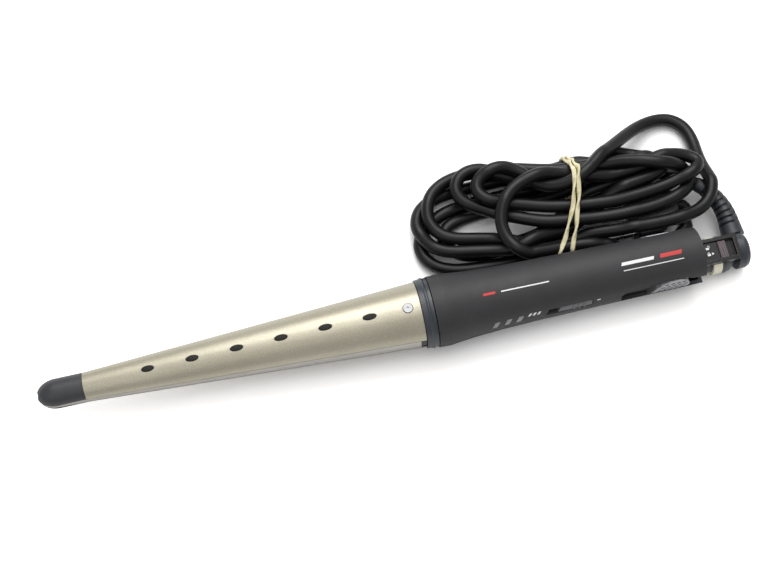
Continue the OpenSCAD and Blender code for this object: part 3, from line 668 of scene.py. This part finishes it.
def plug_mesh():
    """Flat two-pin plug: a rounded body that narrows to the lead, with grip ridges."""
    half_widths = np.array([
        [0, 12.6], [0.8, 13.3], [2, 13.5], [10, 13.4], [14, 11.5], [18, 8.2], [20, 6.6], [21, 5.6],
    ])
    rings = []
    sides, steps = 56, 60
    for i in range(steps + 1):
        x = PLUG_L * i / steps
        w = np.interp(x, half_widths[:, 0], half_widths[:, 1])
        h = PLUG_H / 2 * (1 - 0.10 * max(0, (x - 12) / 9) ** 2) - (0.35 if x < 0.6 else 0)
        if 11 < x < 20:
            w -= 0.35 * (1 + math.cos(2 * math.pi * x / 1.8)) / 2
        ring = []
        for k in range(sides):
            a = 2 * math.pi * k / sides
            c, s = math.cos(a), math.sin(a)
            ring.append(row((PLUG_X + x, PLUG_Y + w * abs(c) ** 0.38 * (1 if c > 0 else -1),
                             PLUG_H / 2 + h * abs(s) ** 0.38 * (1 if s > 0 else -1))))
        rings.append(ring)
    return loft("plug", rings)


def pin_mesh(side):
    """A pin with a sleeved root and a domed end."""
    profile = [(0.3, 1.75), (-8.5, 1.75), (-8.6, PIN_R), (-PIN_L + 1.6, PIN_R), (-PIN_L + 0.6, 1.6),
               (-PIN_L + 0.1, 0.9), (-PIN_L, 0.35)]
    rings = []
    for x, r in profile:
        rings.append([
            row((PLUG_X + x, PLUG_Y + side * PIN_PITCH / 2 + r * math.cos(a), PLUG_H / 2 + r * math.sin(a)))
            for a in np.linspace(0, 2 * math.pi, 28, endpoint=False)
        ])
    return loft("pin", rings)


plug = link("plug_moulding", plug_mesh(), "lead", "plug_black")
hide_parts("plug_body")
pins = link("plug_contact_pins", join_meshes("pins", [pin_mesh(-1), pin_mesh(1)]), "lead", "pin_metal")
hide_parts("plug_pins")


def turns_left(a, b, c):
    """Whether the way from a by b to c turns left."""
    return (b[0] - a[0]) * (c[1] - a[1]) - (b[1] - a[1]) * (c[0] - a[0]) > 0


def hull_loop(points):
    """Convex hull of 2D points, counter-clockwise."""
    pts = sorted(map(tuple, points))
    loop = []
    for run in (pts, pts[::-1]):
        start = len(loop)
        for p in run:
            while len(loop) - start >= 2 and not turns_left(loop[-2], loop[-1], p):
                loop.pop()
            loop.append(p)
        loop.pop()
    return loop


BAND_FAR = (95.5, 56.0)                # where the band crosses the hank's far and near edges, X and Y
BAND_NEAR = (84.0, 15.6)
BAND_BOW = 3.6                         # how far it bows towards the handle's rear between them
BAND_HANDLE_GAP = 2.3                  # from the handle to the middle of a strand


def band_strands():
    """Two turns of one rubber band, side by side over the hank and spread apart at its near edge."""
    lean = (BAND_FAR[0] - BAND_NEAR[0]) / (BAND_FAR[1] - BAND_NEAR[1])
    share = np.clip((BAND_FAR[1] - lead_line[:, 1]) / (BAND_FAR[1] - BAND_NEAR[1]), 0, 1)
    plane_x = BAND_FAR[0] + (lead_line[:, 1] - BAND_FAR[1]) * lean + BAND_BOW * np.sin(math.pi * share)
    held = lead_line[np.abs(lead_line[:, 0] - plane_x) < 3.5]
    circle = [(math.cos(a), math.sin(a)) for a in np.linspace(0, 2 * math.pi, 24, endpoint=False)]
    skin = CORD_R + 0.05
    cloud = [(p[1] + c * skin, max(p[2] + s * skin, 0.9)) for p in held for c, s in circle]
    loop = hull_loop(cloud)
    loop = resample(loop + [loop[0]], 0.6)[:-1]
    n = len(loop)
    centre = loop.mean(0)
    y_low, y_high = loop[:, 0].min(), loop[:, 0].max()
    strands = []
    for side in (-1, 1):
        line = []
        for i, (y, z) in enumerate(loop):
            near = (y_high - y) / (y_high - y_low)
            wave = 2 * math.pi * i / n
            apart = 1.1 + 2.0 * max(0, near - 0.5) ** 1.5 * 2.8 if z > centre[1] * 0.6 else 1.0 + 1.2 * near
            x = BAND_FAR[0] + (y - y_high) * lean + side * apart + 0.18 * math.sin(9 * wave + side)
            x += BAND_BOW * math.sin(math.pi * near)
            out = np.array([y, z]) - centre
            out /= np.linalg.norm(out)
            grow = 0.62 + 0.12 * math.sin(7 * wave + side)
            y, z = y + out[0] * grow, max(z + out[1] * grow, 0.8)
            up = z - AXIS_Z / MM
            clear = float(handle_radius(x - TIP_X / MM)) + BAND_HANDLE_GAP
            if math.hypot(y, up) < clear:
                y = math.sqrt(clear**2 - up**2)
            line.append((x, y, z))
        strands.append(line)
    return strands


def band_mesh():
    """Each strand is a twisted, nearly square ribbon."""
    made = []
    for number, line in enumerate(band_strands()):
        pts = np.array(line)
        for _ in range(3):
            pts = pts * 0.5 + (np.roll(pts, 1, 0) + np.roll(pts, -1, 0)) * 0.25
        n = len(pts)
        ahead = np.roll(pts, -1, 0) - np.roll(pts, 1, 0)
        ahead /= np.linalg.norm(ahead, axis=1)[:, None]
        rings = []
        for i in range(n):
            u = np.cross(ahead[i], (1, 0, 0))
            u /= np.linalg.norm(u)
            v = np.cross(ahead[i], u)
            twist = 2 * math.pi * (4 + number) * i / n
            ring = []
            for k in range(12):
                a = 2 * math.pi * k / 12
                c, s = math.cos(a), math.sin(a)
                c, s = 1.1 * abs(c) ** 0.6 * math.copysign(1, c), 0.6 * abs(s) ** 0.6 * math.copysign(1, s)
                c, s = c * math.cos(twist) - s * math.sin(twist), c * math.sin(twist) + s * math.cos(twist)
                ring.append(row(pts[i] + c * u + s * v))
            rings.append(ring)
        rings.append(rings[0])
        made.append(loft("strand", rings, False, 60))
    return join_meshes("band", made)


band = link("hank_rubber_band", band_mesh(), "lead", "band_rubber")
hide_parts("hank_band")

# ---------------------------------------------------------------- barrel shells with their vents

X_COLLAR = station("upper_collar", 0)
BARREL_L = X_COLLAR - X_BARREL
TIP_R, ROOT_R, SHELL_WALL = 6.7, 15.1, 1.0
EDGE_0, EDGE_1 = 2.5, 5.7              # height of the shell's lower edge at its front and rear end
CONE_TILT = math.atan((ROOT_R - TIP_R) / BARREL_L)
VENTS, VENT_FIRST, VENT_PITCH, VENT_W = 6, 29.4, 20.0, 2.8
SCREW_X, SCREW_HOLE_R = X_COLLAR - 6, 2.25
VENT_L, VENT_GROWS = 5.7, 0.1          # length of the first vent, and how much longer each next one is
COLLAR_GAP = 0.2
EDGE_CUT = 0.14                        # chamfer of the shell's edges
STRIP_ARC = 3.2                        # half the width of the strip of cells that holds the vents
STRIP_CELLS = 8                        # cells across that strip
SIDE_CELLS = 16                        # cells from the strip to the shell's lower edge
HOLE_RINGS = 6                         # rings of cells round a hole, the first one its chamfer
PLUG_GAP = 0.12                        # between a vent's edge and its plug
PLUG_ROOT, PLUG_TALL = 1.2, 1.12       # how deep a plug starts under the shell's surface, and its height


def cone_r(x):
    """Radius of the closed barrel at tool X."""
    return TIP_R + (ROOT_R - TIP_R) * (x - X_BARREL) / BARREL_L


def vent_x(i):
    return X_BARREL + (VENT_FIRST + VENT_PITCH * i) * math.cos(CONE_TILT)


def vent_l(i):
    return VENT_L + VENT_GROWS * i


def shell_side(x):
    """Angle of the shell's lower edge from the top line."""
    z = EDGE_0 + (EDGE_1 - EDGE_0) * (x - X_BARREL) / BARREL_L
    return math.acos(z / cone_r(x))


def shell_rows(x, side):
    """Angles of the cells' corners from the strip of vents down to the shell's edge."""
    inner = STRIP_ARC / cone_r(x)
    outer = shell_side(x) - EDGE_CUT / cone_r(x)
    angles = [side * (inner + (outer - inner) * k / SIDE_CELLS) for k in range(SIDE_CELLS + 1)]
    return angles + [side * shell_side(x)]


def shell_column(x0, x1, strip):
    """Cells between two stations, with or without the strip of vents in the middle."""
    quads = []
    for side in (-1, 1):
        r0, r1 = shell_rows(x0, side), shell_rows(x1, side)
        for k in range(len(r0) - 1):
            quads.append([(x0, r0[k]), (x1, r1[k]), (x1, r1[k + 1]), (x0, r0[k + 1])][::side])
    half = STRIP_CELLS // 2
    for k in range(-half, half) if strip else ():
        low, high = k * STRIP_ARC / half, (k + 1) * STRIP_ARC / half
        quads.append([(x, arc / cone_r(x)) for x, arc in ((x0, low), (x1, low), (x1, high), (x0, high))])
    return quads


def plain_cells(x0, x1):
    """Cells about 1 mm long between two stations."""
    n = max(1, round(x1 - x0))
    at = [x0 + (x1 - x0) * i / n for i in range(n + 1)]
    return [quad for i in range(n) for quad in shell_column(at[i], at[i + 1], True)]


def hole_cells(centre, h, n, half_l, half_w):
    """Cells in the strip round an oval hole, n along and h to each side of it."""
    half = STRIP_CELLS // 2
    rim = [(h, STRIP_ARC * k / half) for k in range(half)]
    rim += [(h - 2 * h * k / n, STRIP_ARC) for k in range(n)]
    rim += [(-h, STRIP_ARC - STRIP_ARC * k / half) for k in range(STRIP_CELLS)]
    rim += [(-h + 2 * h * k / n, -STRIP_ARC) for k in range(n)]
    rim += [(h, -STRIP_ARC + STRIP_ARC * k / half) for k in range(half)]
    corners = (0, half, half + n, 3 * half + n, 3 * half + 2 * n, 4 * half + 2 * n)
    turn = np.interp(range(len(rim)), corners, np.radians((0, 24, 156, 204, 336, 360)))

    def ring(step):
        out = []
        grow = EDGE_CUT if step else 0
        share = (max(0, step - 1) / (HOLE_RINGS - 1)) ** 1.6
        for (u, v), t in zip(rim, turn):
            hole = ((half_l + grow) * math.cos(t), (half_w + grow) * math.sin(t))
            x = centre + hole[0] + (u - hole[0]) * share
            out.append((x, (hole[1] + (v - hole[1]) * share) / cone_r(x)))
        return out

    quads = []
    for step in range(HOLE_RINGS):
        low, high = ring(step), ring(step + 1)
        for k in range(len(low)):
            m = (k + 1) % len(low)
            quads.append([low[k], high[k], high[m], low[m]])
    return quads


def shell_cells():
    """Flat layout of the shell as cells of (x, angle): a grid, with rings of cells round each hole."""
    x_end = X_COLLAR - COLLAR_GAP
    half = VENT_PITCH / 2 * math.cos(CONE_TILT)
    blocks = [(vent_x(i), half, 20, vent_l(i) / 2, VENT_W / 2) for i in range(VENTS)]
    blocks.append((SCREW_X, 5.2, 10, SCREW_HOLE_R, SCREW_HOLE_R))
    at = X_BARREL + EDGE_CUT
    quads = plain_cells(X_BARREL, at)
    for centre, h, n, half_l, half_w in blocks:
        if centre - h > at + 0.01:
            quads += plain_cells(at, centre - h)
        for i in range(n):
            quads += shell_column(centre - h + 2 * h * i / n, centre - h + 2 * h * (i + 1) / n, False)
        quads += hole_cells(centre, h, n, half_l, half_w)
        at = centre + h
    return quads + plain_cells(at, x_end - EDGE_CUT) + plain_cells(x_end - EDGE_CUT, x_end)


def cone_normal(place):
    """Outward normal of the barrel's cone at a place."""
    out = np.array([0, place[1], place[2] - AXIS_Z])
    out /= np.linalg.norm(out)
    return np.array([-math.sin(CONE_TILT), *(out[1:] * math.cos(CONE_TILT))])


def shell_mesh(up, quads):
    """Gives the flat layout its two skins and the walls round every open edge."""
    keys, corners, cells = {}, [], []
    for quad in quads:
        cell = []
        for x, a in quad:
            key = (round(x * 2000), round(a * cone_r(x) * 2000))
            if key not in keys:
                keys[key] = len(corners)
                corners.append((x, a))
            cell.append(keys[key])
        cells.append(cell)
    edges = dict.fromkeys((cell[k], cell[(k + 1) % 4]) for cell in cells for k in range(4))
    open_edges = [(a, b) for a, b in edges if (b, a) not in edges]
    rim = {v for e in open_edges for v in e}
    n = len(corners)
    points = []
    for depth in (0, SHELL_WALL):
        for i, (x, a) in enumerate(corners):
            r = cone_r(x) - (depth or (EDGE_CUT if i in rim else 0))
            points.append(tool(x, r * math.sin(a), up * r * math.cos(a)))
    faces = cells + [[v + n for v in cell[::-1]] for cell in cells]
    faces += [[b, a, a + n, b + n] for a, b in open_edges]
    mesh = mesh_from("barrel_skin", points, faces)
    # the skins shade as a true cone, the walls and chamfers as flat faces
    normals = [None] * len(mesh.loops)
    place = [np.array(v.co) for v in mesh.vertices]
    for poly in mesh.polygons:
        flat = np.array(poly.normal)
        facing = float(np.dot(flat, cone_normal(np.array(poly.center))))
        for loop in poly.loop_indices:
            normal = flat
            if abs(facing) > 0.97:
                normal = cone_normal(place[mesh.loops[loop].vertex_index]) * math.copysign(1, facing)
            normals[loop] = tuple(normal)
    mesh.normals_split_custom_set(normals)
    return mesh


def vent_plugs(up):
    """Oval heat-proof plugs on one carrier strip, nearly flush with the shell."""
    made = []
    turns = np.linspace(0, 2 * math.pi, 40, endpoint=False)
    for i in range(VENTS):
        centre = vent_x(i)
        half_l, half_w = vent_l(i) / 2 - PLUG_GAP, VENT_W / 2 - PLUG_GAP

        def place(u, v, h, centre=centre):
            x = centre + u
            r = cone_r(x) - PLUG_ROOT + h
            return tool(x, r * math.sin(v / r), up * r * math.cos(v / r))

        outline = [(half_l * math.cos(t), half_w * math.sin(t)) for t in turns]
        made.append(bevelled_prism("plug", outline, PLUG_TALL, place, 0.25, 3))
    section = ((-1.9, 1.6), (-1.7, 1.3), (1.7, 1.3), (1.9, 1.6), (1.9, 2.6), (-1.9, 2.6))
    rings = []
    for x in np.linspace(vent_x(0) - 5, vent_x(VENTS - 1) + 5, 24):
        rings.append([tool(x, y, up * (cone_r(x) - d)) for y, d in section])
    made.append(loft("strip", rings))
    return join_meshes("vents", made)


shell_quads = shell_cells()
for side_name, up in (("upper", 1), ("lower", -1)):
    arm = side_name + "_arm"
    skin = link(side_name + "_barrel_skin", shell_mesh(up, shell_quads), arm, "champagne_metal")
    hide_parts(side_name + "_barrel_shell")
    plugs = link(side_name + "_vent_plugs", vent_plugs(up), arm, "black_plastic", VENT_RUBBER)
    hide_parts(side_name + "_vent_strip")

# ---------------------------------------------------------------- prints and small details


def on_handle(x, arc, lift):
    """Point over the handle's surface: arc is measured from the top line towards -Y."""
    r = float(handle_radius(x))
    a = arc / r
    return tool(x, -(r + lift) * math.sin(a), (r + lift) * math.cos(a))


def patch(corners, top, under=-0.15, steps=(12, 4), place=on_handle):
    """Thin body over four corners (x, arc), which follows the surface that place() gives."""
    p = np.array(corners, float)
    rings = []
    for i in range(steps[0] + 1):
        u = i / steps[0]
        low, high = p[0] + (p[1] - p[0]) * u, p[3] + (p[2] - p[3]) * u
        across = [low + (high - low) * j / steps[1] for j in range(steps[1] + 1)]
        rings.append([place(*q, top) for q in across] + [place(*q, under) for q in across[::-1]])
    return loft("patch", rings)


def bar(x0, x1, s0, s1, lean=0.0):
    """Corners of a bar, its far edge shifted along by lean."""
    return [(x0, s0), (x1, s0), (x1 + lean, s1), (x0 + lean, s1)]


WINDOW_ARC = 16.0                      # how far round the light windows are
PRINT_LIFT = 0.05
WHITE_BARS = [
    bar(210, 232, 1.2, 1.75), bar(266, 281, 0.1, 1.6, -0.6), bar(266, 294, 3.7, 4.1),
    *[bar(221.2 + 2.1 * i, 222.3 + 2.1 * i, WINDOW_ARC - 0.9, WINDOW_ARC + 0.7, -0.9) for i in range(3)],
    bar(252.6, 254.2, WINDOW_ARC - 0.6, WINDOW_ARC - 0.1),
]
RED_BARS = [bar(202, 207.5, 0.9, 2.05, -0.4), bar(284, 294, -0.2, 1.6, -0.6)]
for name, bars, paint in (("white", WHITE_BARS, MARK_WHITE), ("red", RED_BARS, MARK_RED)):
    marks = join_meshes("print_" + name, [patch(corners, PRINT_LIFT) for corners in bars])
    link("handle_print_" + name, marks, "upper_arm", "soft_touch", paint)


def pad_place(side):
    """Gives the function that puts a point of (x, z) over one side pad's surface."""
    def place(x, z, lift):
        r = float(handle_radius(x)) - 0.05 + lift
        return tool(x, side * math.sqrt(max(r * r - z * z, 0)), z)
    return place


def pad_dashes():
    """Rows of small slots in the silver pads beside the hinge, drawn as flat black marks on the pad: painted
    shade stands in for the hollow of each slot.
    """
    hinge_x = (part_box("hinge_pin")[0].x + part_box("hinge_pin")[1].x) / 2 / MM - TIP_X / MM
    made = []
    for side in (-1, 1):
        for z, first, count in ((4.0, -7.2, 4), (2.3, -9.0, 5), (0.6, -10.2, 5), (-1.1, -10.6, 5)):
            for i in range(count):
                x = hinge_x + first + 2.7 * i
                slot = [(x, z - 0.35), (x + 1.6, z - 0.15), (x + 1.6, z + 0.45), (x, z + 0.25)]
                made.append(patch(slot, 0.04, -0.2, (4, 2), pad_place(side)))
    return join_meshes("dashes", made)


# the slots are flat black marks, painted shade in place of real hollows
link("side_pad_painted_slot_shade", pad_dashes(), "lower_arm", "pad_silver", SLOT_SHADE_BLACK)


def icon_marks():
    """Padlock signs and an arrow on the plate beside the lock."""
    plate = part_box("lock_icon_plate")
    x0 = (plate[1].x - TIP_X) / MM
    z = (plate[1].z - AXIS_Z) / MM

    def flat(u, v, h):
        return tool(x0 - 5.6 + u, v, z + h - 0.02)

    def ring(cu, cv, turn):
        outer = [(cu + 0.55 * math.sin(a), cv + 0.6 * math.cos(a)) for a in np.linspace(-1.7, 1.7, 14) + turn]
        inner = [(cu + 0.3 * math.sin(a), cv + 0.35 * math.cos(a)) for a in np.linspace(1.7, -1.7, 14) + turn]
        return outer + inner

    shapes = [
        [(0, -2.0), (1.5, -2.0), (1.5, -0.9), (0, -0.9)], ring(0.75, -0.75, 0.0),
        [(2.2, -1.9), (3.3, -1.2), (2.2, -0.5)],
        [(0, 1.0), (1.5, 1.0), (1.5, 2.1), (0, 2.1)], ring(1.5, 2.3, 0.5),
    ]
    return join_meshes("icons", [bevelled_prism("icon", shape, 0.07, flat, 0.02, 1) for shape in shapes])


link("lock_icons", icon_marks(), "lower_arm", "gloss_black", MARK_WHITE)


DOT_R = 6.62                           # where the dots stand on the tip caps, from the axis


def dot_mesh(x, angle, up):
    """Small raised dot on a tip cap."""
    rings = []
    for h, r in ((-0.2, 0.26), (0.06, 0.26), (0.14, 0.18), (0.17, 0.05)):
        rings.append([
            tool(x + r * math.cos(t), (DOT_R + h) * math.sin(angle) + r * math.sin(t) * math.cos(angle),
                 up * ((DOT_R + h) * math.cos(angle) - r * math.sin(t) * math.sin(angle)))
            for t in np.linspace(0, 2 * math.pi, 10, endpoint=False)
        ])
    return loft("dot", rings)


# two short rows of dots mark the cool end of each arm
for side_name, up in (("upper", 1), ("lower", -1)):
    dots = [dot_mesh(7.5 + 1.2 * i, 0.35 + 0.17 * j, up) for i in range(3) for j in range(2)]
    link(side_name + "_tip_dots", join_meshes("dots", dots), side_name + "_arm", "tip_plastic")

# ---------------------------------------------------------------- CAD nodes that keep their shape

# width of the soft edge in millimetres, on the box-like nodes
SOFT_EDGE = {"tail_frame": 0.22, "lock_slider": 0.1, "lock_icon_plate": 0.1, "power_slider": 0.1}


def finish_cad_nodes():
    """Gives each CAD node that shows its finish, and softens the edges of the moulded ones."""
    slots = {entry["node"]: entry["material_slot"] for entry in frame["record"]["subparts"]}
    for name, node in frame["nodes"].items():
        slot = slots[name]
        node.data.materials.clear()
        node.data.materials.append(MATERIALS[slot])
        edge = SOFT_EDGE.get(name)
        if edge:
            weld = node.modifiers.new("weld", "WELD")
            weld.merge_threshold = 2e-6
            round_edges = node.modifiers.new("bevel", "BEVEL")
            round_edges.width = edge * MM
            round_edges.segments = 2
            round_edges.limit_method = "ANGLE"
            round_edges.angle_limit = math.radians(35)
            round_edges.use_clamp_overlap = True


finish_cad_nodes()

# ---------------------------------------------------------------- floor and light


# painted light and painted shadow: the floor glows for the camera only, and the glow fades close to what
# stands on it, which paints a short contact shadow there
FLOOR_GLOW = 0.62                      # as the camera sees it; it fades close to what stands on the floor
PAINTED_SHADOW_REACH = 0.03


def make_stage():
    size = 3.0
    mesh = bpy.data.meshes.new("floor")
    corners = [(-size, -size, 0), (size, -size, 0), (size, size, 0), (-size, size, 0)]
    mesh.from_pydata(corners, [], [(0, 1, 2, 3)])
    floor = bpy.data.objects.new("floor", mesh)
    m, tree, shader = nodes_of("white_sweep")
    shader.inputs["Base Color"].default_value = (0.93, 0.93, 0.93, 1)
    shader.inputs["Roughness"].default_value = 0.9
    shader.inputs["Emission Color"].default_value = (1.0, 0.975, 0.96, 1)
    # ambient occlusion takes the glow away next to the object: this is the painted contact shadow on the
    # floor
    near = tree.nodes.new("ShaderNodeAmbientOcclusion")
    near.samples = 12
    near.inputs["Distance"].default_value = PAINTED_SHADOW_REACH
    seen = tree.nodes.new("ShaderNodeLightPath")
    glow = tree.nodes.new("ShaderNodeMath")
    glow.operation = "MULTIPLY"
    tree.links.new(remap(tree, near.outputs["AO"], 0.0, FLOOR_GLOW, 0.45, 0.85), glow.inputs[0])
    tree.links.new(seen.outputs["Is Camera Ray"], glow.inputs[1])
    tree.links.new(glow.outputs[0], shader.inputs["Emission Strength"])
    mesh.materials.append(m)
    bpy.context.scene.collection.objects.link(floor)
    floor.location.z = -0.00005
    world = bpy.data.worlds.new("studio")
    world.use_nodes = True
    world.node_tree.nodes["Background"].inputs["Color"].default_value = (1, 1, 1, 1)
    world.node_tree.nodes["Background"].inputs["Strength"].default_value = 0.52
    bpy.context.scene.world = world
    for name, at, aim, power, width in (
        ("key", (0.15, 0.78, 1.0), (0, 0.03, 0), 13, 0.9),
        ("fill", (-0.6, -0.5, 1.0), (0, 0, 0), 1.6, 0.9),
        ("top", (0.1, 0.1, 1.4), (0, 0, 0), 3.2, 0.7),
    ):
        data = bpy.data.lights.new(name, "AREA")
        data.energy = power
        data.size = width
        lamp = bpy.data.objects.new(name, data)
        lamp.location = at
        lamp.rotation_euler = (Vector(aim) - Vector(at)).to_track_quat("-Z", "Y").to_euler()
        bpy.context.scene.collection.objects.link(lamp)


make_stage()
